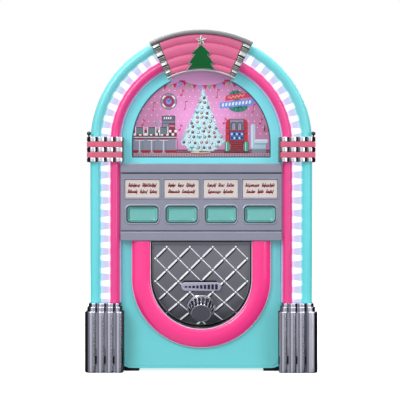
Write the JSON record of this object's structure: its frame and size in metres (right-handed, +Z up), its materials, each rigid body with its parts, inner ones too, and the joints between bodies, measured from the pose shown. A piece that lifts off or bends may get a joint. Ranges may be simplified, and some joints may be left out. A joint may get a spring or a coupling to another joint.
{
  "type": "tabletop jukebox",
  "caption": "Arched tabletop novelty jukebox with lit tubes, half-moon diner scene, push buttons, bowed speaker grille and a volume knob.",
  "frame": {"origin": "on the floor, under the centre of the whole object's box", "axes": "+Z up, the front faces -Y, +X to the right as seen from the front"},
  "size_m": [0.207, 0.108, 0.305],
  "materials": {
    "teal_plastic": "glossy moulded ABS",
    "teal_plastic_rear": "satin moulded ABS, fine spark texture",
    "teal_tube": "high gloss",
    "pink_tube": "high gloss",
    "milky_diffuser": "milky, lit from behind in alternating white and lavender",
    "led_strip": "white flexible strip",
    "chrome": "vacuum-plated, mirror bright",
    "chrome_satin": "vacuum-plated, slightly satin",
    "crest_pink": "satin",
    "tree_green": "satin",
    "band_pink": "satin",
    "silver_paint": "silver paint on ABS",
    "card": "printed card",
    "key_teal": "translucent",
    "circuit_board": "solder mask",
    "hot_pink": "high gloss",
    "dark_chrome": "dark satin plating",
    "lilac_plate": "printed",
    "pot_metal": "stamped",
    "clear_acrylic": "polished",
    "printed_film": "printed translucent film, lit from behind",
    "white_reflector": "matt",
    "speaker_steel": "painted",
    "speaker_paper": "felted paper",
    "black_plastic": "fine texture",
    "cell_sleeve": "printed sleeve",
    "contact_spring": "nickel plated",
    "inlet_steel": "bright",
    "slider_plastic": "fine texture",
    "rubber": "matt",
    "screw_steel": "zinc plated"
  },
  "bodies": {
    "case": {"front_shell": "teal_plastic", "rear_cover": "teal_plastic_rear", "outer_tube": "teal_tube", "inner_tube": "pink_tube", "led_diffuser": "milky_diffuser", "led_strip": "led_strip", "crest_frame": "chrome", "crest_panel": "crest_pink", "crest_tree": "tree_green", "crest_star": "chrome", "bracket_left": "chrome", "bracket_right": "chrome", "bracket_band_left_lower": "band_pink", "bracket_band_left_upper": "band_pink", "bracket_band_right_lower": "band_pink", "bracket_band_right_upper": "band_pink", "pillar_left": "chrome_satin", "pillar_right": "chrome_satin", "control_panel": "silver_paint", "title_card_1": "card", "title_card_2": "card", "title_card_3": "card", "title_card_4": "card", "button_board": "circuit_board", "grille_surround": "hot_pink", "grille": "dark_chrome", "volume_plate": "lilac_plate", "volume_pot": "pot_metal", "window_lens": "clear_acrylic", "diorama_panel": "printed_film", "light_box": "white_reflector", "light_board": "circuit_board", "main_board": "circuit_board", "speaker_frame": "speaker_steel", "speaker_cone": "speaker_paper", "battery_box": "black_plastic", "battery_1": "cell_sleeve", "battery_2": "cell_sleeve", "battery_3": "cell_sleeve", "battery_contact_left": "contact_spring", "battery_contact_right": "contact_spring", "usb_inlet": "inlet_steel", "power_switch": "black_plastic", "foot_front_left": "rubber", "foot_front_right": "rubber", "foot_rear_left": "rubber", "foot_rear_right": "rubber", "rear_screw_lower_left": "screw_steel", "rear_screw_lower_right": "screw_steel", "rear_screw_upper_left": "screw_steel", "rear_screw_upper_right": "screw_steel"},
    "button_1": {"button_1": "key_teal"},
    "button_2": {"button_2": "key_teal"},
    "button_3": {"button_3": "key_teal"},
    "button_4": {"button_4": "key_teal"},
    "volume_knob": {"volume_knob": "chrome"},
    "power_slider": {"power_slider": "slider_plastic"},
    "battery_door": {"battery_door": "teal_plastic_rear"}
  },
  "joints": [
    {"name": "button_1_press", "type": "slide", "parent": "case", "child": "button_1", "axis": [0, 1, 0], "range_m": [0, 0.002], "stiffness_N_per_m": 300, "springref_m": -0.002},
    {"name": "button_2_press", "type": "slide", "parent": "case", "child": "button_2", "axis": [0, 1, 0], "range_m": [0, 0.002], "stiffness_N_per_m": 300, "springref_m": -0.002},
    {"name": "button_3_press", "type": "slide", "parent": "case", "child": "button_3", "axis": [0, 1, 0], "range_m": [0, 0.002], "stiffness_N_per_m": 300, "springref_m": -0.002},
    {"name": "button_4_press", "type": "slide", "parent": "case", "child": "button_4", "axis": [0, 1, 0], "range_m": [0, 0.002], "stiffness_N_per_m": 300, "springref_m": -0.002},
    {"name": "volume_turn", "type": "hinge", "parent": "case", "child": "volume_knob", "pos_m": [0, -0.02864, 0.058], "axis": [0, -0.8825, -0.4702], "range_deg": [-140, 140]},
    {"name": "power_slide", "type": "slide", "parent": "case", "child": "power_slider", "axis": [1, 0, 0], "range_m": [0, 0.005]},
    {"name": "battery_door_hinge", "type": "hinge", "parent": "case", "child": "battery_door", "pos_m": [0, 0.054, 0.0178], "axis": [-1, 0, 0], "range_deg": [0, 95]}
  ]
}
